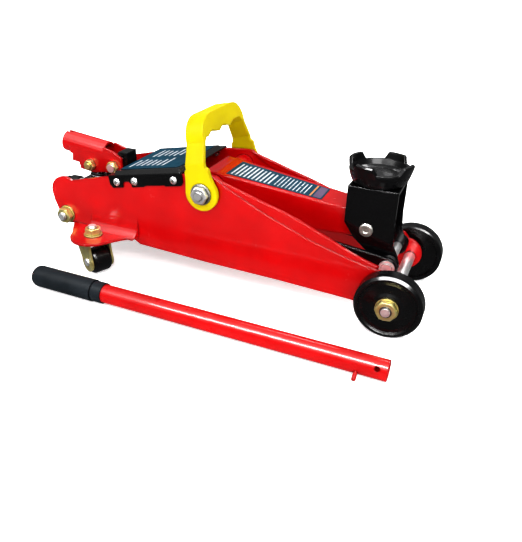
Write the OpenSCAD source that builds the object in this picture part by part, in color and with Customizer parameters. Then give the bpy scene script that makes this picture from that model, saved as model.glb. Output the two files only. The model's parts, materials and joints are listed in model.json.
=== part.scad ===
// Hydraulic floor jack for garage use: a wheeled frame, a lifting arm with a saddle that stays
// level, the hydraulic unit that raises it, a carrying handle and the loose pump handle.
// Millimetres. +X points to the saddle end, +Z up; the floor is Z = 0.

/* [Frame] */
// Half width over the two side plates
plate_y = 54; // [52:0.5:56]
// Thickness of the side plates
plate_t = 3; // [2.5:0.5:3.5]
// Height of the main shaft above the floor
shaft_z = 111.4; // [110:0.2:112]
// Distance from the front axle back to the main shaft
shaft_back = 206; // [205:0.5:207]
// Half width over the two caster lugs
lug_y = 101; // [99:0.5:103]

/* [Wheels] */
// Radius of the front wheels
wheel_r = 33.5; // [33:0.1:34]
// Width of a front wheel
wheel_w = 17.6; // [16:0.2:17.6]
// Radius of a rear caster roller
roller_r = 15; // [14:0.5:15]
// Width of a rear caster roller
roller_w = 22; // [18:1:22]
// Angle the casters happen to stand at
caster_turn = -24; // [-180:1:180]

/* [Lifting arm] */
// Distance from the main shaft to the saddle hinge
arm_len = 169.4; // [168:0.2:171]
// Slope of the lowered arm
arm_slope = 7.43; // [7:0.1:8]
// Half width of the arm at the main shaft
arm_y_rear = 28; // [27:0.2:28.2]
// Half width of the arm at the saddle hinge
arm_y_front = 17.5; // [16:0.5:18]
// Distance from the main shaft to the ram pin
ram_lever = 38; // [37:0.5:38]

/* [Saddle] */
// Radius of the saddle at its rim
saddle_r = 31; // [30:0.5:32]
// Height of the saddle's four prongs above its rim
prong_h = 7; // [6:0.5:8]

/* [Handles] */
// Radius of the pump handle's tube
tube_r = 10; // [9.5:0.1:10]
// Length of the pump handle
tube_len = 396; // [380:2:420]
// Radius of the pump handle's grip
grip_r = 12; // [11:0.2:12.4]
// Height of the carrying handle above the main shaft
carry_h = 77; // [70:1:80]
// Rearward lean of the carrying handle
carry_lean = 12; // [0:1:20]
// Upward tilt of the handle socket
socket_tilt = 7; // [5:0.5:9]

/* [Hidden] */
$fn = 64;
gap = 0.3;
run = 0.06;

// where things are along the jack: the front axle is X = 0 here, and place() moves it all
shaft = [-shaft_back, shaft_z];
hinge = shaft + arm_len * [cos(arm_slope), -sin(arm_slope)];
link_step = [26.6, -32.4];
stud = shaft + link_step;
cross_pin = hinge + link_step;
ram_z = 76.9;
ram_pin_at = shaft + ram_lever * [cos(-125), sin(-125)];
socket_at = [-349.5, 106.1];
rear_stud_at = [-393, 53];
rear_x = -412;
plate_in = plate_y - plate_t;
rim_in = 1.2;

// radii of the shafts
axle_r = 6;
shaft_r = 8;
shaft_end_r = 5;
pin_r = 6;
link_pin_r = 5;
socket_pin_r = 5;
rear_stud_r = 5;

// front wheels and casters
wheel_y = plate_y + 1.2 + wheel_w / 2;
caster_at = [-341, 75];
caster_trail = 6;
lug_z = 44;
lug_t = 3;
lug_r = lug_y - caster_at[1];
fork_t = 2.5;
fork_top = lug_z - lug_t - 1;
fork_in = roller_w / 2 + 0.8;
caster_pin_r = 3;
stem_r = 5;

// arm profile, along and above the line from shaft to hinge
arm_top = 14;
arm_t = 3;
arm_drop = 20;
boss_r = 12;
arm_pin = [ram_lever * cos(-125 + arm_slope), ram_lever * sin(-125 + arm_slope)];
arm_end = arm_len + 13;

// saddle bracket and saddle
bracket_y = 25;
bracket_z = 133;
bracket_t = 3;
saddle_x = -36;
saddle_z = bracket_z + gap;
rim_z = 148.5;
stem_saddle_r = 8;

// link bars
link_in = 30;
link_t = 4;
link_h = 10;

// hydraulic unit
tank_r = 30;
tank_x = [-327, -270];
cyl_r = 14;
cyl_t = 4;
rod_r = 10;
gland_x = -258;
yoke_y = 14;
yoke_back = 26;
slot_r = pin_r + 0.7;
slot_z = [73.4, ram_pin_at[1]];
spring_y = 41;
bar_back = 20;
anchor_x = -335;
plunger_lean = 15;
plunger_r = 6;
plunger_len = 54;
roller_bolt_at = [-32.6, -5.9];
pump_roller_r = 6.5;

// carrying handle
leg_t = 4.4;
leg_in = plate_y + 1.6;
leg_out = leg_in + leg_t;
leg_w = 10.4;
bar_y_out = 50.5;

// cover
cover_slope = 10.4;
cover_at = [-326, 110.8];
cover_len = 96;
cover_t = 1.5;
cover_y = plate_y + 0.3;
skirt_h = 13;
deck_y = 48;
deck_h = 3;

// pump handle lying beside the jack
bar_y = -136;
bar_front = 18;
grip_len = 94;
tube_t = 2;
handle_pin_x = -9;
handle_pin_r = 2;
handle_pin_len = 18;
bar_drop = asin((grip_r - tube_r) / (tube_len - grip_len));

// the middle of the whole object's footprint, which is the model's origin
tail_x = -437;
x_mid = (wheel_r + tail_x) / 2;
y_low = bar_y - handle_pin_len * cos(26) - handle_pin_r * sin(26);
y_mid = (lug_y + y_low) / 2;

// ---------- shared shapes ----------

// Moves a piece from the front axle's frame to the model's own origin.
module place() translate([-x_mid, -y_mid, 0]) children();

// The piece and its mirror image on the other side of the jack.
module both_sides() {
  children();
  mirror([0, 1, 0]) children();
}

// A cylinder across the jack, centred on p = [x, z], from y0 to y1.
module across(p, r, y0, y1) {
  translate([p[0], y0, p[1]]) rotate([-90, 0, 0]) cylinder(r = r, h = y1 - y0);
}

// A cylinder along the jack at height z, from x0 to x1.
module along(z, r, x0, x1) {
  translate([x0, 0, z]) rotate([0, 90, 0]) cylinder(r = r, h = x1 - x0);
}

// A drawing of [x, z] points made into a sheet between y0 and y1.
module sheet(y0, y1) {
  translate([0, y1, 0]) rotate([90, 0, 0]) linear_extrude(y1 - y0) children();
}

// A straight bar from p to q, with half widths wp and wq there.
module bar_between(p, wp, q, wq) {
  side = [p[1] - q[1], q[0] - p[0]] / norm(q - p);
  polygon([p + wp * side, q + wq * side, q - wq * side, p - wp * side]);
}

// Two discs joined by a bar a little narrower than the discs.
module strap(p, rp, q, rq) {
  translate(p) circle(rp);
  translate(q) circle(rq);
  bar_between(p, 0.96 * rp, q, 0.96 * rq);
}

// A hexagon nut with chamfered corners, standing on Z = 0; af is its width across flats.
module nut(af, h, r, flange = 0) {
  corner = af / 2 / cos(30);
  bevel = corner - af / 2;
  difference() {
    union() {
      intersection() {
        cylinder(r = corner, h = h, $fn = 6);
        rotate_extrude() polygon([
          [0, 0], [corner + 1, 0], [corner + 1, h - bevel * 0.6 - 0.6],
          [af / 2 - 0.4, h], [0, h]
        ]);
      }
      if (flange > 0) cylinder(r = flange, h = 1.6);
    }
    translate([0, 0, -1]) cylinder(r = r, h = h + 2);
  }
}

// A ring standing on Z = 0.
module ring(ro, ri, h) {
  difference() {
    cylinder(r = ro, h = h);
    translate([0, 0, -1]) cylinder(r = ri, h = h + 2);
  }
}

// Puts its children at [x, z] on the left side, with Z pointing out to the left from y.
module facing_left(p, y) translate([p[0], y, p[1]]) rotate([-90, 0, 0]) children();

// A rectangle with round corners, centred.
module round_rect(w, h, r) {
  square([w - 2 * r, h], center = true);
  square([w, h - 2 * r], center = true);
  for (x = [-1, 1], y = [-1, 1]) translate([x * (w / 2 - r), y * (h / 2 - r)]) circle(r);
}

// ---------- frame ----------

// The crease along the top of a plate, where its rim steps in.
crease = [
  [-191.5, 127.4], [-181, 121.1], [-164, 112.5], [-141.6, 101.6], [-125, 94.6], [-103, 86.1],
  [-86.7, 79.9], [-65.4, 73.6], [-44.5, 67.6], [-27, 63.4]
];

// Side view of a plate up to its crease.
module plate_outline() {
  polygon(concat(
    [[-392, 44], [-404, 53], [-410, 68], [rear_x, 80], [-409, 88], [-400, 92.5]],
    [[-326, 110.6], [-232, 127.8], [-206, 130.2], [-196, 130.2]],
    crease,
    [[-16, 62.4], [-9, 61.2], [-4, 55.5], [-3, 53], [-6, 18]],
    [[-14, 19.6], [-40, 23.4], [-120, 27], [-204, 29], [-291, 33.2], [-304, lug_z - lug_t]]
  ));
  translate([-6, wheel_r + 3]) circle(18.5);
  translate([-392, 80]) circle(20);
}

// The rim above the crease, set inward from the plate.
module rim_outline() {
  polygon(concat(
    [[-22, 60], [-16, 65.2], [-29.5, 69.4], [-45, 74.9], [-63, 83], [-82, 91], [-100.5, 98.8]],
    [[-118, 105], [-142, 112], [-166, 119.5], [-184, 125], [-196, 129.4]],
    [for (p = crease) p - [0, 2.5]]
  ));
}

// The caster lug seen from above, on the left side.
module lug_outline() {
  translate(caster_at) circle(lug_r);
  polygon([
    [-384, plate_in], [-384, plate_y + 1], [-364.5, 84], [caster_at[0], caster_at[1] + 10],
    [-320, 89.5], [-306, 70], [-292, plate_y + 1], [-292, plate_in]
  ]);
}

module side_plate() {
  color("red") difference() {
    union() {
      sheet(plate_in, plate_y) plate_outline();
      sheet(plate_in - rim_in, plate_y - rim_in) rim_outline();
      translate([0, 0, lug_z - lug_t]) linear_extrude(lug_t) lug_outline();
      // the drawn metal between the plate and the lug
      translate([-356, 0, 0]) rotate([90, 0, 90]) linear_extrude(64) polygon(concat(
        [for (t = [0:10:90]) [plate_y + 14 * (1 - cos(t)), 67 - (68 - lug_z) * sin(t)]],
        [[plate_y - 1, lug_z - 1], [plate_y - 1, 67]]
      ));
    }
    across([0, wheel_r], axle_r + 0.05, plate_in - 5, plate_y + 5);
    across(shaft, shaft_r + 0.05, plate_in - 5, plate_y + 5);
    across(rear_stud_at, rear_stud_r + 0.05, plate_in - 5, plate_y + 20);
    translate([caster_at[0], caster_at[1], 0]) cylinder(r = stem_r + 0.05, h = 200);
    // flat seat for the caster's nut
    translate([caster_at[0], caster_at[1], lug_z]) cylinder(r = 11.5, h = 60);
    for (x = cover_screw_x) cover_frame() translate([x, plate_in - 5, -skirt_h / 2])
      rotate([-90, 0, 0]) cylinder(r = 2.05, h = 20);
  }
}

module side_plate_left() side_plate();
module side_plate_right() mirror([0, 1, 0]) side_plate();

module front_axle() {
  end = wheel_y + wheel_w / 2;
  color("silver") {
    across([0, wheel_r], axle_r, -end - 6, end + 6);
    both_sides() across([0, wheel_r], axle_r - 1.4, 0, end + 8.4);
  }
}

module front_axle_washers() {
  color("silver") both_sides() facing_left([0, wheel_r], plate_y)
    ring(10, axle_r + 0.05, 0.9);
}

module front_axle_nuts() {
  color("goldenrod") both_sides() facing_left([0, wheel_r], wheel_y + wheel_w / 2 + 0.3)
    nut(19, 6.5, axle_r + 0.05, 11.5);
}

module main_shaft() {
  color("silver") {
    across(shaft, shaft_r, -leg_out, leg_out);
    both_sides() {
      across(shaft, shaft_end_r, 0, leg_out + 7.6);
      across(shaft, shaft_end_r - 0.8, 0, leg_out + 8.6);
    }
  }
}

module main_shaft_spacers() {
  color("red") both_sides() facing_left(shaft, arm_y_rear + 1.2)
    ring(12, shaft_r + 0.05, plate_in - arm_y_rear - 1.2);
}

module main_shaft_washers() {
  color("silver") both_sides() facing_left(shaft, leg_out + 0.2)
    ring(11.5, shaft_end_r + 0.05, 1.6);
}

module main_shaft_nuts() {
  color("silver") both_sides() facing_left(shaft, leg_out + 1.8)
    nut(17, 5.2, shaft_end_r + 0.05);
}

module link_studs() {
  color("silver") both_sides() {
    across(stud, pin_r, link_in - 1.4, plate_in);
    across(stud, 9, link_in + link_t + gap, plate_in);
  }
}

// ---------- hydraulic unit ----------

module rear_mount_studs() {
  color("silver") both_sides() {
    across(rear_stud_at, rear_stud_r, 20, plate_y + 11.6);
    across(rear_stud_at, rear_stud_r - 0.8, 20, plate_y + 12.6);
  }
}

module rear_mount_nuts() {
  color("goldenrod") both_sides() facing_left(rear_stud_at, plate_y)
    nut(17, 8.6, rear_stud_r + 0.05, 10.5);
}

// Axis of the pump plunger: a point under the roller, and the direction up along it.
function turn(p, a) = [p[0] * cos(a) + p[1] * sin(a), -p[0] * sin(a) + p[1] * cos(a)];
roller_at = socket_at + turn(roller_bolt_at, socket_tilt);
plunger_dir = [sin(plunger_lean), cos(plunger_lean)];
plunger_top = roller_at + 3 * [plunger_dir[1], -plunger_dir[0]]
  - (pump_roller_r + gap) * plunger_dir;

// Puts its children with Z along the plunger's axis and the origin at the plunger's top.
module at_plunger() translate([plunger_top[0], 0, plunger_top[1]]) rotate([0, plunger_lean, 0]) children();

module pump_body() {
  color([0.08, 0.08, 0.09]) difference() {
    union() {
      sheet(-32, 32) polygon([
        [-410, 42], [-410, 78], [-366, 78], [-366, 91], [tank_x[0], 91], [tank_x[0], 50],
        [-368, 36], [-404, 36]
      ]);
      at_plunger() translate([0, 0, -36]) cylinder(r = 11.5, h = 19);
      both_sides() across(rear_stud_at, 13, 31, plate_in - 0.05);
      // ear for the socket's pivot, with the stop behind it
      sheet(-9.8, 9.8) polygon([
        [-364, 90], [-361, 104], [-352, 115], [-346, 119], [-343, 124.5], [-331, 124.5],
        [-331, 90]
      ]);
    }
    across(socket_at, socket_pin_r + 0.05, -20, 20);
    both_sides() across(rear_stud_at, rear_stud_r + 0.05, 20, plate_y);
    across([-337, 119], 1.6, -20, 20);
    at_plunger() translate([0, 0, -plunger_len - 4]) cylinder(r = plunger_r + run, h = plunger_len);
    translate([-430, 0, 72]) rotate([0, 90, 0]) cylinder(r = 6 + run, h = 32);
    translate([-380, 24, 60]) cylinder(r = 4.05, h = 40);
  }
}

module reservoir() {
  color([0.1, 0.1, 0.11]) difference() {
    along(ram_z, tank_r, tank_x[0], tank_x[1]);
    along(ram_z, tank_r - 2.5, tank_x[0] + 3, tank_x[1] - 3);
    along(ram_z, cyl_r + cyl_t, tank_x[0] + 1, tank_x[1] + 1);
    translate([-300, 0, ram_z]) cylinder(r = 5, h = 40);
  }
}

module ram_cylinder() {
  color("silver") difference() {
    along(ram_z, cyl_r + cyl_t - 0.02, tank_x[0] + 1, tank_x[1]);
    along(ram_z, cyl_r, tank_x[0] + 4, tank_x[1] + 1);
  }
}

module gland_nut() {
  color([0.15, 0.15, 0.16]) translate([tank_x[1], 0, ram_z]) rotate([0, 90, 0]) difference() {
    union() {
      cylinder(r = 24, h = 5);
      nut(38, gland_x - tank_x[1], rod_r);
    }
    translate([0, 0, -1]) cylinder(r = rod_r + run, h = 20);
  }
}

module filler_plug() {
  color([0.2, 0.2, 0.2]) translate([-300, 0, ram_z + tank_r - 8]) {
    cylinder(r = 4.98, h = 9);
    translate([0, 0, 8.6]) cylinder(r = 7.5, h = 2.4);
  }
}

module relief_screw() {
  color("silver") translate([-380, 24, 62]) {
    cylinder(r = 4, h = 18);
    translate([0, 0, 16.4]) difference() {
      cylinder(r = 6.5, h = 5, $fn = 6);
      translate([0, 0, 3]) cube([12, 1.2, 5], center = true);
    }
  }
}

module spring_anchors() {
  color("silver") both_sides() {
    across([anchor_x, ram_z], 4, spring_y - 6, plate_in);
    across([anchor_x, ram_z], 5.5, spring_y - 7.5, spring_y - 6);
  }
}

// Simple outer shapes of the springs.
module return_springs() {
  color("dimgray") both_sides() translate([0, spring_y, 0])
    along(ram_z, 5, anchor_x + 4.2, ram_pin_at[0] - bar_back - 4.2);
}

module pump_spring() {
  color("dimgray") at_plunger() translate([0, 0, -16.8]) ring(9.4, plunger_r + 0.5, 12.4);
}

// ---------- cover ----------

cover_screw_x = [10, 34, 85];
cover_cut_x = [22, 60];

// Frame of the cover: X up its slope from its rear edge, Z square to its top.
module cover_frame() translate([cover_at[0], 0, cover_at[1]]) rotate([0, -cover_slope, 0]) children();

// Part of the skirt that hangs beside the plate, with a tab around each screw.
module skirt_outline() {
  difference() {
    translate([0, -skirt_h]) square([cover_len, skirt_h]);
    translate([0, -skirt_h]) polygon([[17, -1], [17, 3.5], [20, 6.5], [26, 6.5], [29, 3.5], [29, -1]]);
    translate([0, -skirt_h]) polygon([[44, -1], [46, 1.2], [72, 1.2], [74, -1]]);
    translate([-1, -skirt_h - 1]) polygon([[0, 0], [5, 0], [0, 6]]);
    translate([cover_len + 1, -skirt_h - 1]) polygon([[0, 0], [-5, 0], [0, 6]]);
  }
}

module cover_plate() {
  color([0.07, 0.07, 0.08]) cover_frame() difference() {
    union() {
      translate([0, -cover_y - cover_t, 0]) cube([cover_len, 2 * (cover_y + cover_t), cover_t]);
      both_sides() sheet(cover_y, cover_y + cover_t) skirt_outline();
      // raised deck with sloping sides
      intersection() {
        sheet(-deck_y - 6, deck_y + 6) polygon([
          [4, 1], [7, cover_t + deck_h], [89, cover_t + deck_h], [93, 1]
        ]);
        rotate([90, 0, 90]) linear_extrude(cover_len) polygon([
          [-deck_y - 4, 1], [-deck_y, cover_t + deck_h], [deck_y, cover_t + deck_h],
          [deck_y + 4, 1]
        ]);
      }
    }
    // hollow under the deck
    intersection() {
      sheet(-deck_y - 6, deck_y + 6) polygon([
        [6, -1], [8.5, deck_h], [87.5, deck_h], [91, -1]
      ]);
      rotate([90, 0, 90]) linear_extrude(cover_len) polygon([
        [-deck_y - 2, -1], [-deck_y + 1.5, deck_h], [deck_y - 1.5, deck_h], [deck_y + 2, -1]
      ]);
    }
    for (x = cover_screw_x) translate([x, -80, -skirt_h / 2])
      rotate([-90, 0, 0]) cylinder(r = 2.4, h = 160);
  }
}

module cover_label() {
  color([0.1, 0.32, 0.42]) cover_frame() translate([48, 0, cover_t + deck_h])
    linear_extrude(0.4) round_rect(78, 88, 5);
}

module cover_screws() {
  color("silver") cover_frame() both_sides() for (x = cover_screw_x)
    facing_left([x, -skirt_h / 2], cover_y + cover_t) {
      translate([0, 0, -9]) cylinder(r = 2, h = 9.5);
      difference() {
        intersection() {
          cylinder(r = 4.2, h = 3);
          translate([0, 0, -3.4]) sphere(r = 6);
        }
        for (a = [0, 90]) rotate(a) translate([0, 0, 3]) cube([5, 1, 2.4], center = true);
      }
    }
}

// ---------- lifting arm, saddle and links ----------

// Frame of the arm: X from the main shaft to the saddle hinge.
module arm_frame() translate([shaft[0], 0, shaft[1]]) rotate([0, arm_slope, 0]) children();

// Half width of the arm at a distance u along it.
function arm_y(u) = arm_y_rear - (arm_y_rear - arm_y_front) * max(0, u - 10) / (arm_len - 10);

// Plan of the arm, drawn in by t all round its sides.
module arm_plan(t) {
  polygon([
    [-40, arm_y_rear - t], [10, arm_y_rear - t], [arm_end + 20, arm_y(arm_end + 20) - t],
    [arm_end + 20, t - arm_y(arm_end + 20)], [10, t - arm_y_rear], [-40, t - arm_y_rear]
  ]);
}

module arm_outline() {
  polygon([
    [-12, arm_top], [arm_len + 7, arm_top], [arm_end - 2, 9], [arm_end, 2],
    [arm_len + 8, -10], [arm_len - 4, -11.8], [arm_len - 60, -arm_drop], [14, -arm_drop],
    [-6, -28], [-14, 0]
  ]);
  strap([0, 0], 14.5, arm_pin, boss_r);
}

module lift_arm() {
  color("red") arm_frame() difference() {
    union() {
      difference() {
        intersection() {
          sheet(-60, 60) arm_outline();
          translate([0, 0, -60]) linear_extrude(120) arm_plan(0);
        }
        translate([0, 0, -60 + arm_top - arm_t]) linear_extrude(60) arm_plan(arm_t);
      }
      across([0, 0], boss_r, -arm_y_rear, arm_y_rear);
      across([arm_len, 0], 10, -arm_y(arm_len), arm_y(arm_len));
    }
    across([0, 0], shaft_r + run, -60, 60);
    across([arm_len, 0], pin_r + run, -60, 60);
    across(arm_pin, pin_r + 0.02, -60, 60);
  }
}

module arm_label() {
  color([0.1, 0.32, 0.42]) arm_frame() translate([64, 0, arm_top])
    linear_extrude(0.4) polygon([[-55, 22.5], [52, 16.5], [52, -16.5], [-55, -22.5]]);
}

module ram_pin() {
  color("silver") across(ram_pin_at, pin_r, -arm_y_rear, arm_y_rear);
}

module bracket_outline() {
  polygon([
    [-61, bracket_z], [-61, 94.5], [-50, 79], [-21.4, 55], [cross_pin[0], cross_pin[1] - 9],
    [-1.6, 57.1], [-4, 66], [-9.5, 77], [-11, 95], [-11, bracket_z]
  ]);
  translate(cross_pin) circle(10);
}

module saddle_bracket() {
  color([0.06, 0.06, 0.06]) difference() {
    sheet(-bracket_y, bracket_y) bracket_outline();
    translate([-100, -bracket_y + bracket_t, -1])
      cube([150, 2 * (bracket_y - bracket_t), bracket_z - bracket_t + 1]);
    across(hinge, pin_r + 0.02, -60, 60);
    across(cross_pin, link_pin_r + 0.02, -60, 60);
    translate([saddle_x, 0, 100]) cylinder(r = stem_saddle_r + run, h = 60);
  }
}

module saddle_hinge_pin() {
  color("silver") {
    across(hinge, pin_r, -bracket_y - 1, bracket_y + 1);
    both_sides() facing_left(hinge, bracket_y) rotate_extrude() polygon([
      [0, 0], [7, 0], [7, 1], [5.5, 1.9], [3.2, 1.9], [2.4, 1.1], [0, 1.1]
    ]);
  }
}

module link_cross_pin() {
  color("silver") {
    across(cross_pin, link_pin_r, -link_in - link_t - 2.6, link_in + link_t + 2.6);
    both_sides() across(cross_pin, 8, bracket_y, link_in - gap);
  }
}

module link_pin_clips() {
  color("silver") both_sides() facing_left(cross_pin, link_in + link_t + gap)
    ring(8, link_pin_r, 1.2);
}

module saddle() {
  base = rim_z - saddle_z;
  color([0.05, 0.05, 0.05]) translate([saddle_x, 0, saddle_z]) rotate(-20) difference() {
    union() {
      rotate_extrude() polygon([
        [0, 0], [24.5, 0], [26.8, 1.2], [28.2, 4], [saddle_r - 0.9, 9], [saddle_r, base - 2],
        [saddle_r - 0.6, base], [saddle_r - 3.6, base], [saddle_r - 6, base - 5], [20, base - 7],
        [0, base - 7]
      ]);
      intersection() {
        rotate_extrude() polygon([
          [saddle_r - 5.4, base - 4], [saddle_r - 0.4, base - 4], [saddle_r + 1.3, base + 2],
          [saddle_r + 2, base + prong_h - 1.4], [saddle_r + 1, base + prong_h],
          [saddle_r - 1.8, base + prong_h], [saddle_r - 3.4, base]
        ]);
        for (a = [0, 90]) rotate(a) rotate([90, 0, 90]) linear_extrude(100, center = true)
          polygon([
            [-12.5, base - 6], [-12.5, base - 1], [-8.5, base + prong_h + 1],
            [8.5, base + prong_h + 1], [12.5, base - 1], [12.5, base - 6]
          ]);
      }
      translate([0, 0, -14]) cylinder(r = stem_saddle_r, h = 15);
    }
    // groove for the clip
    translate([0, 0, -5.6]) ring(20, stem_saddle_r - 1.4, 1.4);
  }
}

module saddle_clip() {
  color("silver") translate([saddle_x, 0, saddle_z - 5.5]) ring(11, stem_saddle_r - 1.3, 1.2);
}

module link_bar() {
  color([0.06, 0.06, 0.06]) difference() {
    union() {
      across(stud, link_h, link_in, link_in + link_t);
      across(cross_pin, link_h, link_in, link_in + link_t);
      sheet(link_in, link_in + link_t) bar_between(stud, 0.96 * link_h, cross_pin, 0.96 * link_h);
    }
    across(stud, pin_r + run, 0, 60);
    across(cross_pin, link_pin_r + run, 0, 60);
  }
}

module link_bar_left() link_bar();
module link_bar_right() mirror([0, 1, 0]) link_bar();

// ---------- ram ----------

yoke_x = ram_pin_at[0];

module piston_rod() {
  color("silver") along(ram_z, rod_r, tank_x[0] + 4.4, yoke_x - yoke_back + 6);
}

module piston() {
  color("dimgray") difference() {
    along(ram_z, cyl_r - run, tank_x[0] + 4.8, tank_x[0] + 12.6);
    along(ram_z, rod_r, tank_x[0], tank_x[0] + 60);
    translate([tank_x[0] + 8, 0, ram_z]) rotate([0, 90, 0]) ring(cyl_r + 1, cyl_r - 1.2, 1.4);
  }
}

module ram_yoke() {
  color([0.35, 0.35, 0.36]) difference() {
    union() {
      sheet(-yoke_y, yoke_y) translate([yoke_x - yoke_back, 62]) square([yoke_back + 12.5, 29.5]);
      across([yoke_x - bar_back, ram_z], 4, -spring_y - 5, spring_y + 5);
    }
    sheet(-yoke_y - 1, yoke_y + 1) {
      translate([yoke_x, slot_z[0]]) circle(slot_r);
      translate([yoke_x, slot_z[1]]) circle(slot_r);
      translate([yoke_x - slot_r, slot_z[0]]) square([2 * slot_r, slot_z[1] - slot_z[0]]);
    }
    along(ram_z, rod_r, yoke_x - yoke_back - 1, yoke_x - yoke_back + 6);
  }
}

// ---------- pumping ----------

socket_r = tube_r + 0.3;
socket_t = 2.5;
socket_axis_z = 11;
socket_mouth = -76;
socket_stop = -16;

// Frame of the socket: its pivot at the origin, its mouth towards -X.
module socket_frame() translate([socket_at[0], 0, socket_at[1]]) rotate([0, socket_tilt, 0]) children();

module cheek_outline() {
  polygon([
    [-64, 11], [-64, 1.5], [-60.5, 1.5], [-60.5, -7.5], [-50.5, -7.5], [-48, -15],
    [-29, -15], [-11, -9.8], [0, -9], [9, -4], [12.4, 0], [11, 13], [-2, 18], [-16, 20], [-16, 11]
  ]);
  circle(9.2);
}

module handle_socket() {
  color("red") socket_frame() difference() {
    union() {
      translate([0, 0, socket_axis_z]) along(0, socket_r + socket_t, socket_mouth, socket_stop);
      both_sides() sheet(socket_r, socket_r + socket_t) cheek_outline();
    }
    translate([0, 0, socket_axis_z]) along(0, socket_r, socket_mouth - 1, socket_stop + 1);
    // key slot in the top of the mouth
    translate([socket_mouth - 1, -2.6, socket_axis_z]) cube([9, 5.2, 20]);
    across([0, 0], socket_pin_r + run, -30, 30);
    across(roller_bolt_at, 4.05, -30, 30);
    // room for the roller
    across(roller_bolt_at, pump_roller_r + 0.8, -socket_r, socket_r);
  }
}

module socket_pivot_pin() {
  color("silver") across(socket_at, socket_pin_r, -20, 20);
}

module socket_pivot_nuts() {
  color("goldenrod") both_sides() facing_left(socket_at, socket_r + socket_t + 0.3)
    nut(13, 5.5, socket_pin_r);
}

module pump_roller() {
  color("goldenrod") socket_frame() difference() {
    across(roller_bolt_at, pump_roller_r, -9.6, 9.6);
    across(roller_bolt_at, 4.02, -12, 12);
  }
}

module roller_bolt() {
  color("goldenrod") socket_frame() {
    across(roller_bolt_at, 4, -22, 20);
    both_sides() facing_left(roller_bolt_at, socket_r + socket_t) nut(12, 6.5, 3.9);
  }
}

module pump_plunger() {
  color("silver") at_plunger() {
    translate([0, 0, -plunger_len]) cylinder(r = plunger_r, h = plunger_len - 1);
    translate([0, 0, -4]) cylinder(r = 9, h = 4);
  }
}

// ---------- release valve ----------

release_z = 72;

module release_spindle() {
  color("silver") along(release_z, 6, -424, -400);
}

module release_joint() {
  color([0.12, 0.12, 0.12]) difference() {
    union() {
      along(release_z, 8.5, -424, -413);
      along(release_z, 6.5, -433, -424);
      along(release_z, 5, tail_x, -433);
    }
    along(release_z, 6, -424, -400);
    translate([tail_x - 1, -1.5, release_z - 20]) cube([10, 3, 40]);
  }
}

// ---------- carrying handle ----------

// Side view of a leg up to its step.
module leg_outline() {
  circle(18.5);
  polygon([
    [-18.3, 2.5], [-15.2, 16], [-14.2, 25], [-12, 27.5], [-12, 32], [leg_w, 32], [leg_w, 28],
    [13.4, 25.5], [14.4, 16], [18.3, 2.5]
  ]);
}

// Side view of the handle above the steps.
module bridge_side() {
  polygon([
    [-12, 28], [-12, 30], [-leg_w, 48], [-leg_w, carry_h + 1], [leg_w, carry_h + 1],
    [leg_w, 28]
  ]);
}

// Front view of the handle's bridge, with finger grips under it.
module bridge_outline() {
  corner = 25;
  inner = 7;
  bottom = carry_h - 18;
  inner_y = bar_y_out - leg_t;
  difference() {
    union() {
      for (s = [-1, 1]) translate([s * (bar_y_out - corner), carry_h - corner]) circle(corner);
      translate([corner - bar_y_out, carry_h - corner]) square([2 * (bar_y_out - corner), corner]);
      polygon([
        [-leg_out, 28], [-leg_out, 32], [-bar_y_out, carry_h - corner],
        [bar_y_out, carry_h - corner], [leg_out, 32], [leg_out, 28]
      ]);
    }
    polygon([
      [-leg_in, 27], [-leg_in, 32], [-inner_y - 0.4, bottom - inner], [-inner_y + inner, bottom],
      [inner_y - inner, bottom], [inner_y + 0.4, bottom - inner], [leg_in, 32], [leg_in, 27]
    ]);
  }
  for (y = [-30, -3.5, 23]) polygon([
    [max(y - 25, -46), bottom + 1], [max(y - 25, -46), bottom], [y - 10, bottom - 4],
    [y - 8.5, bottom - 4], [y, bottom], [y, bottom + 1]
  ]);
}

module carry_handle() {
  color("yellow") translate([shaft[0], 0, shaft[1]]) rotate([0, -carry_lean, 0]) difference() {
    union() {
      both_sides() sheet(leg_in, leg_out) leg_outline();
      intersection() {
        rotate([90, 0, 90]) linear_extrude(24, center = true) bridge_outline();
        sheet(-70, 70) bridge_side();
      }
    }
    across([0, 0], shaft_r + run, -80, 80);
  }
}

// ---------- wheels ----------

// One front wheel on the left side: a dished face with a lip at its rim.
module front_wheel() {
  w = wheel_w / 2;
  color([0.04, 0.04, 0.04]) facing_left([0, wheel_r], wheel_y) rotate_extrude($fn = 96) polygon([
    [axle_r + run, -w], [12, -w], [13, -w + 3], [wheel_r - 6, -w + 3], [wheel_r - 4.5, -w],
    [wheel_r - 1.5, -w], [wheel_r, -w + 1.5], [wheel_r, w - 2.5], [wheel_r - 2.5, w],
    [wheel_r - 4.5, w], [wheel_r - 6, w - 2], [wheel_r - 9, w - 2.8], [16, w - 1.6],
    [13, w], [axle_r + run, w]
  ]);
}

module front_wheel_left() front_wheel();
module front_wheel_right() mirror([0, 1, 0]) front_wheel();

// Frame of a caster: the swivel axis at the origin, the roller trailing along X.
module caster_frame(side) translate([caster_at[0], side * caster_at[1], 0]) rotate(caster_turn) children();

module fork_outline() {
  translate([caster_trail, roller_r]) circle(11.5);
  polygon([
    [caster_trail - 11, roller_r + 1], [-13, fork_top - 9], [-13, fork_top], [14, fork_top],
    [14, fork_top - 9], [caster_trail + 11, roller_r + 1]
  ]);
}

module caster_fork(side) {
  color("goldenrod") caster_frame(side) difference() {
    union() {
      both_sides() sheet(fork_in, fork_in + fork_t) fork_outline();
      translate([-13, -fork_in - fork_t, fork_top - fork_t])
        cube([27, 2 * (fork_in + fork_t), fork_t]);
    }
    cylinder(r = stem_r + run, h = 60);
    across([caster_trail, roller_r], caster_pin_r + 0.02, -30, 30);
  }
}

module caster_fork_left() caster_fork(1);
module caster_fork_right() caster_fork(-1);

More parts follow.
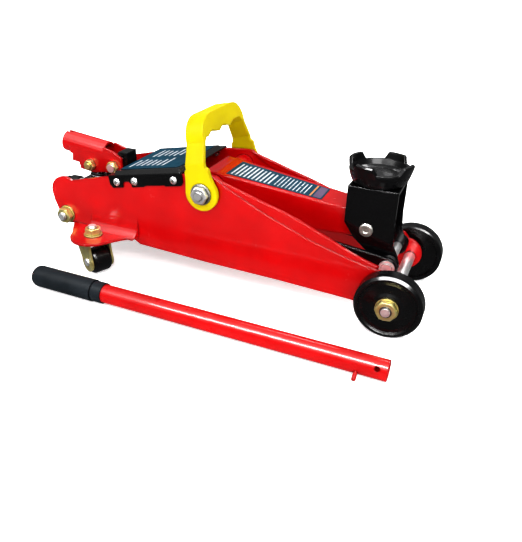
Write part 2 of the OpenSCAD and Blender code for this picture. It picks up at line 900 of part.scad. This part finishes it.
module caster_axle(side) {
  color("silver") caster_frame(side) {
    across([caster_trail, roller_r], caster_pin_r, -fork_in - fork_t - 0.5, fork_in + fork_t + 0.5);
    both_sides() facing_left([caster_trail, roller_r], fork_in + fork_t) rotate_extrude()
      polygon([[0, 0], [5, 0], [4.4, 1.4], [2.6, 2], [0, 2.1]]);
  }
}

module caster_axle_left() caster_axle(1);
module caster_axle_right() caster_axle(-1);

module caster_roller(side) {
  h = roller_w / 2;
  color([0.04, 0.04, 0.04]) caster_frame(side) facing_left([caster_trail, roller_r], 0)
    rotate_extrude() polygon([
      [caster_pin_r + run, -h], [roller_r - 4, -h], [roller_r - 1.2, -h + 0.8],
      [roller_r, -h + 3], [roller_r, h - 3], [roller_r - 1.2, h - 0.8], [roller_r - 4, h],
      [caster_pin_r + run, h]
    ]);
}

module caster_roller_left() caster_roller(1);
module caster_roller_right() caster_roller(-1);

module caster_stems() {
  color("silver") both_sides() translate([caster_at[0], caster_at[1], 0]) {
    translate([0, 0, fork_top - fork_t - 3]) cylinder(r = stem_r, h = 20.6);
    translate([0, 0, fork_top]) cylinder(r = stem_r - 0.8, h = 15.9);
    translate([0, 0, fork_top - fork_t - 3.2]) cylinder(r = 7.5, h = 2.9);
    translate([0, 0, fork_top + 0.1]) ring(10, stem_r, 0.9);
  }
}

module caster_stem_nuts() {
  color("goldenrod") both_sides() translate([caster_at[0], caster_at[1], lug_z])
    nut(16, 9, stem_r, 10.5);
}

// ---------- pump handle ----------

// Frame of the loose handle: the front end of its tube at the origin, X back along it.
module bar_frame() translate([bar_front, bar_y, tube_r]) rotate([0, 0, 180])
  rotate([0, -bar_drop, 0]) children();

module handle_tube() {
  color("red") bar_frame() difference() {
    along(0, tube_r, 0, tube_len - 20);
    along(0, tube_r - tube_t, -1, tube_len - 24);
    rotate([-26, 0, 0]) translate([bar_front - handle_pin_x, 0, 0])
      rotate([-90, 0, 0]) cylinder(r = handle_pin_r, h = tube_r + 5);
    translate([9, 0, 0]) rotate([-60, 0, 0]) cylinder(r = 2.5, h = tube_r + 5);
  }
}

module handle_grip() {
  start = tube_len - grip_len;
  color([0.16, 0.19, 0.22]) bar_frame() difference() {
    translate([start, 0, 0]) rotate([90, 0, 90]) rotate_extrude() polygon(concat(
      [[0, 0], [grip_r - 0.7, 0], [grip_r - 0.7, 12], [grip_r - 1.6, 12], [grip_r - 1.6, 13.5], [grip_r, 13.5]],
      [for (a = [0:9:90]) [grip_r - 8 + 8 * cos(a), grip_len - 8 + 8 * sin(a)]],
      [[0, grip_len]]
    ));
    along(0, tube_r, start - 1, tube_len - 20);
  }
}

module handle_pin() {
  color("red") bar_frame() rotate([-26, 0, 0]) translate([bar_front - handle_pin_x, tube_r - tube_t, 0])
    rotate([-90, 0, 0]) cylinder(r = handle_pin_r, h = handle_pin_len - tube_r + tube_t);
}

place() side_plate_left();
place() side_plate_right();
place() front_axle();
place() front_axle_washers();
place() front_axle_nuts();
place() main_shaft();
place() main_shaft_spacers();
place() main_shaft_washers();
place() main_shaft_nuts();
place() link_studs();
place() rear_mount_studs();
place() rear_mount_nuts();
place() pump_body();
place() reservoir();
place() ram_cylinder();
place() gland_nut();
place() filler_plug();
place() relief_screw();
place() spring_anchors();
place() return_springs();
place() pump_spring();
place() cover_plate();
place() cover_label();
place() cover_screws();
place() caster_stems();
place() caster_stem_nuts();
place() socket_pivot_pin();
place() socket_pivot_nuts();
place() lift_arm();
place() arm_label();
place() ram_pin();
place() saddle_bracket();
place() saddle_hinge_pin();
place() link_cross_pin();
place() link_pin_clips();
place() saddle();
place() saddle_clip();
place() link_bar_left();
place() link_bar_right();
place() piston_rod();
place() piston();
place() ram_yoke();
place() handle_socket();
place() pump_roller();
place() roller_bolt();
place() pump_plunger();
place() release_spindle();
place() release_joint();
place() carry_handle();
place() front_wheel_left();
place() front_wheel_right();
place() caster_fork_left();
place() caster_fork_right();
place() caster_axle_left();
place() caster_axle_right();
place() caster_roller_left();
place() caster_roller_right();
place() handle_tube();
place() handle_grip();
place() handle_pin();
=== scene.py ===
"""Looks of the hydraulic floor jack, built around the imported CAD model."""

import json
import math
import random

import bpy
from mathutils import Matrix, Vector


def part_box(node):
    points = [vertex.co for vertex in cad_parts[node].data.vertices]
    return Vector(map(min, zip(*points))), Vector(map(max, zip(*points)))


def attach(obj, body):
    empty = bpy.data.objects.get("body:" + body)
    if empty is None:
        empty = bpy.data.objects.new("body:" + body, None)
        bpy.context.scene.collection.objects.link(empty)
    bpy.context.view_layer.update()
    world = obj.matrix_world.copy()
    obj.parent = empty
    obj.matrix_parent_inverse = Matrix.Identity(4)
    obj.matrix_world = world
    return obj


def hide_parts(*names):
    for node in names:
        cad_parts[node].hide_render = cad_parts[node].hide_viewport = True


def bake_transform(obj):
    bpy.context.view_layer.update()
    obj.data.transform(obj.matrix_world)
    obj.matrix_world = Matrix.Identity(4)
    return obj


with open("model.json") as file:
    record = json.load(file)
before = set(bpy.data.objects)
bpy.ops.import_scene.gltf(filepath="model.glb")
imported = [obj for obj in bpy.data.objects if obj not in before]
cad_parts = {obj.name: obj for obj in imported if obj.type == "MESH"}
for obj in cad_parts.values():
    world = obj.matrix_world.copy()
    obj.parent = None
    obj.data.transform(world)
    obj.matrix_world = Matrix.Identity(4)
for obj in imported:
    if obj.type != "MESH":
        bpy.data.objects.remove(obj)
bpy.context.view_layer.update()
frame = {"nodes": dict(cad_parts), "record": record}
nodes = frame["nodes"]
random.seed(7)

# Blender works in metres; lengths here are in millimetres unless a comment says otherwise
MM = 0.001

# the point on the floor under the front axle, from which places are measured
axle_low, axle_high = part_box("front_axle")
ORIGIN = (axle_low + axle_high) / 2
ORIGIN.z = 0


def at(x, y, z):
    """A point given in millimetres from the floor under the front axle, in the row frame."""
    return ORIGIN + Vector((x, y, z)) * MM


# ---------- camera ----------

CAMERA_AT = (64.35, -567.8, 333.1)
AZIMUTH, ELEVATION, ROLL = (math.radians(v) for v in (24.52, 28.02, 0.53))
SENSOR_WIDTH, LENS = 36, 38.86
SHIFT_X, SHIFT_Y = 0.0494, -0.010
NEAREST, FURTHEST = 10, 50000


def add_camera():
    """Looks at the jack's right side, from a little ahead of it and above it."""
    back = Vector((math.sin(AZIMUTH) * math.cos(ELEVATION),
                   -math.cos(AZIMUTH) * math.cos(ELEVATION), math.sin(ELEVATION)))
    right = Vector((math.cos(AZIMUTH), math.sin(AZIMUTH), 0))
    up = back.cross(right)
    x_axis = right * math.cos(ROLL) + up * math.sin(ROLL)
    y_axis = up * math.cos(ROLL) - right * math.sin(ROLL)
    turn = Matrix((x_axis, y_axis, back)).transposed().to_4x4()
    data = bpy.data.cameras.new("camera")
    data.sensor_width = SENSOR_WIDTH
    data.lens = LENS
    data.shift_x, data.shift_y = SHIFT_X, SHIFT_Y
    data.clip_start, data.clip_end = NEAREST * MM, FURTHEST * MM
    camera = bpy.data.objects.new("camera", data)
    camera.matrix_world = Matrix.Translation(at(*CAMERA_AT)) @ turn
    bpy.context.scene.collection.objects.link(camera)
    bpy.context.scene.camera = camera


add_camera()


# ---------- materials ----------

# a Mix node has sockets for every kind of value, and these are the ones for numbers and colours
NUMBER_A, NUMBER_B, NUMBER_OUT = 2, 3, 0
COLOUR_A, COLOUR_B, COLOUR_OUT = 6, 7, 2

RED_TONES = ((0.53, 0.0008, 0.0022), (0.42, 0.0005, 0.0015))
ZINC_LIGHT, ZINC_DARK = (0.92, 0.92, 0.91), (0.80, 0.80, 0.80)
METAL_EDGE = 0.25
THREAD_PITCH = 1.75
BAND_AT_SCALE_1 = math.pi / 10  # how far apart, in metres, a band texture of scale 1 has its bands
WELD_SPOT = (-179.4, 0, 78)
WELD_FLAT, WELD_RIM = 2, 7  # radii of the dimple's floor and of its rim


class Shader:
    """A material with one Principled shader and helpers to add nodes in front of it."""

    def __init__(self, name, **values):
        self.material = bpy.data.materials.new(name)
        self.material.use_nodes = True
        self.tree = self.material.node_tree
        self.shader = self.tree.nodes["Principled BSDF"]
        for socket, value in values.items():
            self.shader.inputs[socket.replace("_", " ")].default_value = value
        self.coords = self.node("ShaderNodeTexCoord").outputs["Object"]
        self.normal = None

    def node(self, kind, **props):
        """Adds a node with the given properties."""
        made = self.tree.nodes.new(kind)
        for key, value in props.items():
            setattr(made, key, value)
        return made

    def link(self, source, target):
        self.tree.links.new(source, target)

    def noise(self, scale, detail=4):
        """Noise with `scale` cells to the metre."""
        made = self.node("ShaderNodeTexNoise")
        made.inputs["Scale"].default_value = scale
        made.inputs["Detail"].default_value = detail
        self.link(self.coords, made.inputs["Vector"])
        return made.outputs["Fac"]

    def ramp(self, source, stops):
        """Colours a value by stops of (place, colour)."""
        made = self.node("ShaderNodeValToRGB")
        elements = made.color_ramp.elements
        while len(elements) < len(stops):
            elements.new(0.5)
        for element, (place, colour) in zip(elements, stops):
            element.position = place
            element.color = (*colour, 1)
        self.link(source, made.inputs["Fac"])
        return made.outputs["Color"]

    def spread(self, source, low, high, start=0.3, end=0.7):
        """Maps a value from start..end to low..high."""
        made = self.node("ShaderNodeMapRange")
        for key, value in (("From Min", start), ("From Max", end),
                           ("To Min", low), ("To Max", high)):
            made.inputs[key].default_value = value
        self.link(source, made.inputs["Value"])
        return made.outputs["Result"]

    def math(self, operation, a, b=None):
        """A math node on socket a, with b a socket, a number or nothing."""
        made = self.node("ShaderNodeMath", operation=operation)
        self.link(a, made.inputs[0])
        if isinstance(b, (int, float)):
            made.inputs[1].default_value = b
        elif b:
            self.link(b, made.inputs[1])
        return made.outputs["Value"]

    def mix(self, factor, a, b):
        """Mixes colours a and b, each a socket or a colour."""
        made = self.node("ShaderNodeMix", data_type="RGBA")
        self.link(factor, made.inputs["Factor"])
        for value, socket in ((a, made.inputs[COLOUR_A]), (b, made.inputs[COLOUR_B])):
            if isinstance(value, (tuple, list)):
                socket.default_value = (*value, 1)
            else:
                self.link(value, socket)
        return made.outputs[COLOUR_OUT]

    def corner_shade(self, colour, dark, reach=3.0, unshaded_share=0.78):
        """Paints shade into a colour in corners and next to neighbours, within `reach` of them,
        darker where more of the sky is hidden.

        The colour is untouched where more of the sky than the share in the last argument is open."""
        hollow = self.node("ShaderNodeAmbientOcclusion", samples=8)
        hollow.inputs["Distance"].default_value = reach * MM
        share = self.spread(hollow.outputs["AO"], 0, 1, unshaded_share - 0.4, unshaded_share)
        return self.mix(share, dark, colour)

    def set(self, socket, source):
        """Feeds one of the Principled shader's sockets."""
        self.link(source, self.shader.inputs[socket])

    def soften(self, edge):
        """Rounds the look of edges over the radius `edge`."""
        made = self.node("ShaderNodeBevel", samples=4)
        made.inputs["Radius"].default_value = edge * MM
        self.normal = made.outputs["Normal"]

    def bump(self, *layers):
        """Adds layers of (height socket, strength, depth in metres) over a softened surface."""
        for height, strength, distance in layers:
            made = self.node("ShaderNodeBump")
            made.inputs["Strength"].default_value = strength
            made.inputs["Distance"].default_value = distance
            self.link(height, made.inputs["Height"])
            self.link(self.normal, made.inputs["Normal"])
            self.normal = made.outputs["Normal"]
        self.link(self.normal, self.shader.inputs["Normal"])


def paint(name, colour, deep, rough=0.16, coat=0.35, wave=0.6, ior=1.22, edge=0.9):
    """Glossy sprayed paint: colour clouds, painted shade in corners, the waviness of pressed sheet,
    and orange peel.
    """
    s = Shader(name, Coat_Weight=coat, Coat_Roughness=0.08, Coat_IOR=1.45, IOR=ior)
    clouds = s.mix(s.spread(s.noise(22), 0, 1), deep, colour)
    # painted shade: the paint darkens in corners and next to other parts
    s.set("Base Color", s.corner_shade(clouds, [0.3 * v for v in deep]))
    s.set("Roughness", s.spread(s.noise(60, 6), rough, rough + 0.12))
    s.soften(edge)
    s.bump((s.noise(14, 2), wave, 0.0020), (s.noise(900, 2), 0.10, 0.0002))
    return s


def metal(name, colour, dark, rough=0.22, grain=700):
    """Plated or ground metal with faint clouds and painted shade in its corners."""
    s = Shader(name, Metallic=1.0)
    clouds = s.mix(s.spread(s.noise(120, 5), 0, 1), dark, colour)
    # painted shade: the metal darkens in corners and next to other parts
    s.set("Base Color", s.corner_shade(clouds, [0.12 * v for v in dark], 4.0, 0.9))
    s.set("Roughness", s.spread(s.noise(grain, 4), rough, rough + 0.18))
    s.soften(METAL_EDGE)
    s.bump((s.noise(grain, 4), 0.05, 0.0001))
    return s


def yellow_zinc(name):
    """Zinc plate passivated to a brassy yellow with faint green and pink clouds."""
    s = Shader(name, Metallic=0.85)
    clouds = s.ramp(s.noise(90, 3), [
        (0.25, (0.42, 0.34, 0.12)), (0.45, (0.60, 0.52, 0.21)), (0.56, (0.54, 0.51, 0.24)),
        (0.68, (0.56, 0.45, 0.22)), (0.85, (0.46, 0.37, 0.14))])
    # painted shade: the brassy colour darkens in corners and next to other parts
    s.set("Base Color", s.corner_shade(clouds, (0.07, 0.055, 0.02), 3.0, 0.85))
    s.set("Roughness", s.spread(s.noise(500, 4), 0.30, 0.45))
    s.soften(METAL_EDGE)
    s.bump((s.noise(900, 3), 0.05, 0.0001))
    return s


def moulded(name, colour, other, rough=0.35, scale=420, strength=0.2, edge=0.5, **values):
    """Moulded plastic or rubber with a fine grain."""
    s = Shader(name, **values)
    clouds = s.mix(s.spread(s.noise(30, 3), 0, 1), other, colour)
    # painted shade: the colour darkens in corners and next to other parts
    s.set("Base Color", s.corner_shade(clouds, [0.35 * v for v in other]))
    s.set("Roughness", s.spread(s.noise(80, 4), rough, rough + 0.15))
    s.soften(edge)
    s.bump((s.noise(scale, 3), strength, 0.0003))
    return s


def ink(name, colour, other):
    """Print on a label, a little duller than the label itself."""
    return moulded(name, colour, other, rough=0.4, scale=90, strength=0.05,
                   Specular_IOR_Level=0.1)


def threaded(name, axis, start):
    """Zinc plate with a screw thread's grooves along one axis, from `start` off the middle."""
    s = metal(name, ZINC_LIGHT, ZINC_DARK, rough=0.30)
    wave = s.node("ShaderNodeTexWave", wave_type="BANDS", bands_direction=axis, wave_profile="TRI")
    wave.inputs["Scale"].default_value = BAND_AT_SCALE_1 / (THREAD_PITCH * MM)
    s.link(s.coords, wave.inputs["Vector"])
    place = s.node("ShaderNodeSeparateXYZ")
    s.link(s.coords, place.inputs["Vector"])
    off_middle = s.math("SUBTRACT", place.outputs[axis], getattr(ORIGIN, axis.lower()))
    cut = s.spread(s.math("ABSOLUTE", off_middle), 0, 1, (start - 1) * MM, start * MM)
    s.bump((s.math("MULTIPLY", wave.outputs["Fac"], cut), 0.8, 0.0005))
    return s


def plate_paint(name):
    """The red paint with the shallow round dimple of a spot weld."""
    s = paint(name, *RED_TONES, coat=0.9, edge=3.2)
    flat = s.node("ShaderNodeMapping")
    flat.inputs["Scale"].default_value = (1, 0, 1)
    s.link(s.coords, flat.inputs["Vector"])
    reach = s.node("ShaderNodeVectorMath", operation="DISTANCE")
    spot = at(*WELD_SPOT)
    reach.inputs[1].default_value = (spot.x, 0, spot.z)
    s.link(flat.outputs["Vector"], reach.inputs[0])
    slope = s.spread(reach.outputs["Value"], 0, 1, WELD_FLAT * MM, WELD_RIM * MM)
    s.bump((slope, 0.5, 0.0007))
    return s


RED = paint("red_paint", *RED_TONES, rough=0.26, edge=1.6)
ARM_RED = paint("arm_red_paint", *RED_TONES, coat=0.9, edge=4.0)
SOCKET_RED = paint("socket_red_paint", *RED_TONES, coat=0.9, edge=2.0)
PLATE_RED = plate_paint("plate_red_paint")
BLACK = paint("black_paint", (0.0022, 0.0022, 0.0026), (0.0012, 0.0012, 0.0015), rough=0.14,
              wave=0.35, ior=1.25, coat=0.55, edge=2.4)
CASTING = paint("black_casting", (0.0024, 0.0024, 0.0028), (0.0012, 0.0012, 0.0015), rough=0.24,
                wave=0.8, ior=1.25, coat=0.30, edge=1.6)
ZINC = metal("zinc_plate", ZINC_LIGHT, ZINC_DARK, rough=0.30)
DULL_ZINC = metal("dull_zinc", (0.52, 0.51, 0.47), (0.34, 0.33, 0.30), rough=0.30)
AXLE = threaded("axle_zinc", "Y", 70)
SHAFT_ZINC = threaded("shaft_zinc", "Y", 62)
STUD = threaded("stud_zinc", "Y", 50)
STEM = threaded("stem_zinc", "Z", 0)
GOLD = yellow_zinc("yellow_zinc")
GROUND = metal("ground_steel", (0.70, 0.70, 0.71), (0.55, 0.55, 0.57), rough=0.08, grain=1200)
DARK_STEEL = metal("dark_steel", (0.20, 0.20, 0.21), (0.10, 0.10, 0.11), rough=0.35)
YELLOW = moulded("yellow_plastic", (0.60, 0.50, 0.0008), (0.52, 0.42, 0.0006), rough=0.34,
                 scale=160, strength=0.25, edge=2.6, Subsurface_Weight=0.10, Subsurface_Scale=0.003,
                 Specular_IOR_Level=0.05)
NYLON = moulded("black_nylon", (0.0024, 0.0024, 0.0028), (0.0014, 0.0014, 0.0017), rough=0.16,
                IOR=1.38)
RUBBER = moulded("grip_rubber", (0.015, 0.020, 0.025), (0.008, 0.011, 0.014), rough=0.42,
                 scale=700, strength=0.8, Specular_IOR_Level=0.07)
LABEL = moulded("label", (0.003, 0.046, 0.080), (0.002, 0.034, 0.060), rough=0.30, scale=90,
                strength=0.1, Specular_IOR_Level=0.06)
PRINT = ink("label_print", (0.62, 0.65, 0.68), (0.52, 0.55, 0.58))
STRIPE = ink("label_stripe", (0.60, 0.25, 0.09), (0.48, 0.18, 0.06))
END_BLOCK = ink("label_end", (0.12, 0.08, 0.14), (0.08, 0.05, 0.10))

# each slot's look, and the nodes with a look of their own
LOOKS = {
    "red_paint": RED, "black_paint": BLACK, "black_casting": CASTING, "zinc": ZINC,
    "yellow_zinc": GOLD, "ground_steel": GROUND, "dark_steel": DARK_STEEL,
    "yellow_plastic": YELLOW, "black_nylon": NYLON, "label": LABEL, "grip_rubber": RUBBER,
}
OWN_LOOKS = {
    "lift_arm": ARM_RED, "handle_socket": SOCKET_RED,
    "side_plate_left": PLATE_RED, "side_plate_right": PLATE_RED,
    "front_axle": AXLE, "main_shaft": SHAFT_ZINC, "rear_mount_studs": STUD, "caster_stems": STEM,
    "main_shaft_washers": DULL_ZINC, "saddle_hinge_pin": DULL_ZINC,
}
SLOT_OF = {part["node"]: part["material_slot"] for part in frame["record"]["subparts"]}
for name, node in nodes.items():
    node.data.materials.clear()
    node.data.materials.append(OWN_LOOKS.get(name, LOOKS[SLOT_OF[name]]).material)


# ---------- pieces ----------

# x and z of the main shaft and of the cover's rear edge, with the slopes of arm and cover
SHAFT = (-206, 111.4)
ARM_SLOPE = math.radians(7.43)
COVER = (-326, 110.8)
COVER_SLOPE = math.radians(10.4)

# a label's top is this far above the arm's middle line or the cover's sheet
ARM_LABEL_TOP = 14.4
COVER_LABEL_TOP = 4.9
INK_SUNK, INK_PROUD = 0.02, 0.06

PUMP_LEAN = math.radians(15)
PUMP_SPRING_LENGTH = 12.4
STEPS_A_TURN, WIRE_SIDES = 26, 10
BOX_FACES = ((3, 2, 1, 0), (4, 5, 6, 7), (0, 1, 5, 4), (1, 2, 6, 5), (2, 3, 7, 6), (3, 0, 4, 7))


def arm_point(u, y, h):
    """A point u along the lifting arm from the main shaft and h above its middle line."""
    return at(SHAFT[0] + u * math.cos(ARM_SLOPE) + h * math.sin(ARM_SLOPE), y,
              SHAFT[1] - u * math.sin(ARM_SLOPE) + h * math.cos(ARM_SLOPE))


def cover_point(u, y, h):
    """A point u up the cover from its rear edge and h above its sheet."""
    return at(COVER[0] + u * math.cos(COVER_SLOPE) - h * math.sin(COVER_SLOPE), y,
              COVER[1] + u * math.sin(COVER_SLOPE) + h * math.cos(COVER_SLOPE))


def add_piece(name, verts, faces, look):
    """A mesh in the row frame with one look."""
    mesh = bpy.data.meshes.new(name)
    mesh.from_pydata(verts, [], faces)
    mesh.materials.append(look.material)
    piece = bpy.data.objects.new(name, mesh)
    bpy.context.scene.collection.objects.link(piece)
    return piece


def add_print(name, point, marks, height, look, body):
    """Thin printed marks, each (u0, u1, y0, y1), on a flat label whose top is at the height."""
    verts, faces = [], []
    for u0, u1, y0, y1 in marks:
        first = len(verts)
        for h in (height - INK_SUNK, height + INK_PROUD):
            verts += [point(u, y, h) for u, y in ((u0, y0), (u1, y0), (u1, y1), (u0, y1))]
        faces += [[first + i for i in face] for face in BOX_FACES]
    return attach(add_piece(name, verts, faces, look), body)


def label_half_width(u):
    """Half the width of the arm's label, which narrows toward the saddle."""
    return 22.5 - 6 * (u - 9) / 107


def broken_bar(u0, u1, low, high, breaks):
    """One bar across a label, broken at random places."""
    half_gap, shortest = 0.4, 1.6
    cuts = sorted(random.uniform(low, high) for _ in range(breaks))
    ends = [low, *cuts, high]
    return [(u0, u1, a + half_gap, b - half_gap)
            for a, b in zip(ends, ends[1:]) if b - a > shortest]


def add_arm_print():
    """Bold bars, then fine bars, a stripe and an end block, up the arm's label."""
    margin = 2.5
    marks = []
    for rows, first, pitch, width, ragged, breaks in (
            (10, 13, 4.7, 1.9, (4, 9), 1), (9, 62, 4.2, 1.2, (3, 6), 3)):
        for i in range(rows):
            u = first + pitch * i
            half = label_half_width(u)
            high = half - random.uniform(*ragged)
            marks += broken_bar(u, u + width, margin - half, high, breaks)
    add_print("arm_label_print", arm_point, marks, ARM_LABEL_TOP, PRINT, "lift_arm")
    stripe = [(102, 103.8, -15.6, 15.6)]
    end_block = [(106, 114.5, -15, 15)]
    add_print("arm_label_stripe", arm_point, stripe, ARM_LABEL_TOP, STRIPE, "lift_arm")
    add_print("arm_label_end", arm_point, end_block, ARM_LABEL_TOP, END_BLOCK, "lift_arm")


def add_cover_print():
    """Two columns of broken bars on the cover's label."""
    pitch, width, breaks = 7.2, 2.2, 2
    marks = []
    for left, right, first, rows in ((-37, -4, 16, 7), (4, 36, 22, 6)):
        for i in range(rows):
            u = first + pitch * i
            low = left + random.uniform(0, 5)
            high = right - random.uniform(0, 8)
            marks += broken_bar(u, u + width, low, high, breaks)
    add_print("cover_label_print", cover_point, marks, COVER_LABEL_TOP, PRINT, "frame")


def add_coil(name, start, end, radius, wire, turns, node):
    """A coil spring with closed ends between two points, in place of its plain CAD tube.

    `radius` is the coil's outside and `wire` the wire's radius,
    and these and the points are in metres."""
    axis = end - start
    length = axis.length
    axis.normalize()
    side = axis.cross(Vector((0, 1, 0)) if abs(axis.y) < 0.9 else Vector((1, 0, 0))).normalized()
    other = axis.cross(side)
    steps, sides = STEPS_A_TURN * turns, WIRE_SIDES
    verts, faces = [], []
    for i in range(steps + 1):
        t = i / steps
        angle = 2 * math.pi * turns * t
        risen = min(1, max(0, (t * turns - 1) / (turns - 2)))
        along = wire + (length - 2 * wire) * risen
        out = side * math.cos(angle) + other * math.sin(angle)
        centre = start + axis * along + out * (radius - wire)
        for j in range(sides):
            a = 2 * math.pi * j / sides
            verts.append(centre + (out * math.cos(a) + axis * math.sin(a)) * wire)
    for i in range(steps):
        for j in range(sides):
            k = (j + 1) % sides
            faces.append((i * sides + j, i * sides + k, (i + 1) * sides + k, (i + 1) * sides + j))
    faces.append(tuple(range(sides))[::-1])
    faces.append(tuple(range(steps * sides, (steps + 1) * sides)))
    coil = add_piece(name, verts, faces, DARK_STEEL)
    for polygon in coil.data.polygons:
        polygon.use_smooth = True
    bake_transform(coil)
    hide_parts(node)


def add_coils():
    """The two return springs from the frame to the ram, and the pump's spring."""
    radius = 5 * MM
    low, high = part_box("return_springs")
    z = (low.z + high.z) / 2
    for name, y in (("return_coil_right", low.y + radius), ("return_coil_left", high.y - radius)):
        add_coil(name, Vector((low.x, y, z)), Vector((high.x, y, z)), radius, 0.8 * MM, 28,
                 "return_springs")
    low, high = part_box("pump_spring")
    middle = (low + high) / 2
    half = Vector((math.sin(PUMP_LEAN), 0, math.cos(PUMP_LEAN))) * (PUMP_SPRING_LENGTH * MM / 2)
    add_coil("pump_coil", middle - half, middle + half, 9.4 * MM, 1.3 * MM, 4,
             "pump_spring")


add_arm_print()
add_cover_print()
add_coils()


# ---------- floor and light ----------

MIDDLE = (-200, 0, 60)
FLOOR_SIZE = 12  # metres


def add_floor():
    """A plain pale floor that glows a little and that gloss doesn't mirror."""
    shader = Shader("floor", Roughness=0.7, Specular_IOR_Level=0.1, Emission_Strength=0.6)
    shader.set("Base Color", shader.mix(shader.spread(shader.noise(8), 0, 1),
                                        (0.93, 0.93, 0.93), (0.96, 0.96, 0.96)))
    shader.shader.inputs["Emission Color"].default_value = (1, 1, 1, 1)
    bpy.ops.mesh.primitive_plane_add(size=FLOOR_SIZE, location=(0, 0, 0))
    floor = bpy.context.object
    floor.name = "floor"
    floor.visible_glossy = False
    floor.data.materials.append(shader.material)


def aim(light, place, target):
    """Puts a light in the scene, shining from its place to the target."""
    light.location = at(*place)
    light.rotation_euler = (at(*target) - light.location).to_track_quat("-Z", "Y").to_euler()
    bpy.context.scene.collection.objects.link(light)


def add_light(name, place, target, size, power, glossy_only=False):
    """A soft box: its size is in metres and its power in watts."""
    data = bpy.data.lights.new(name, "AREA")
    data.shape = "RECTANGLE"
    data.size, data.size_y = size
    data.energy = power
    light = bpy.data.objects.new(name, data)
    light.visible_diffuse = not glossy_only
    aim(light, place, target)


def add_sun(name, place, target, strength, spread):
    """A very soft overall light from one direction, `spread` degrees across."""
    data = bpy.data.lights.new(name, "SUN")
    data.energy = strength
    data.angle = math.radians(spread)
    aim(bpy.data.objects.new(name, data), place, target)


add_floor()
add_sun("day", (-300, -500, 1500), MIDDLE, 1.95, 70)
add_light("box_front", (-900, -900, 700), MIDDLE, (0.5, 0.7), 2)
add_light("strip", (-40, -640, 1000), (-130, 0, 60), (1.6, 0.32), 110, glossy_only=True)
add_light("box_side", (500, -900, 900), (-100, 0, 60), (0.8, 0.25), 9)
add_light("box_back", (-300, 700, 900), MIDDLE, (0.9, 0.15), 9)


def add_studio():
    """A dim room with a bright ceiling, seen against a white backdrop."""
    world = bpy.data.worlds.new("studio")
    world.use_nodes = True
    tree = world.node_tree
    coords = tree.nodes.new("ShaderNodeTexCoord")
    split = tree.nodes.new("ShaderNodeSeparateXYZ")
    # the height of a direction is 0 at the horizon and 1 overhead
    ramp = tree.nodes.new("ShaderNodeMapRange")
    for key, value in (("From Min", 0.45), ("From Max", 0.75),
                       ("To Min", 0.20), ("To Max", 1.10)):
        ramp.inputs[key].default_value = value
    tree.links.new(coords.outputs["Generated"], split.inputs[0])
    tree.links.new(split.outputs["Z"], ramp.inputs["Value"])
    path = tree.nodes.new("ShaderNodeLightPath")
    backdrop = tree.nodes.new("ShaderNodeMix")
    backdrop.inputs[NUMBER_B].default_value = 1.0
    tree.links.new(path.outputs["Is Camera Ray"], backdrop.inputs["Factor"])
    tree.links.new(ramp.outputs["Result"], backdrop.inputs[NUMBER_A])
    background = tree.nodes["Background"]
    tree.links.new(backdrop.outputs[NUMBER_OUT], background.inputs["Strength"])
    background.inputs["Color"].default_value = (1, 1, 1, 1)
    return world


bpy.context.scene.world = add_studio()
bpy.context.scene.view_settings.view_transform = "Standard"
bpy.context.scene.view_settings.gamma = 0.85
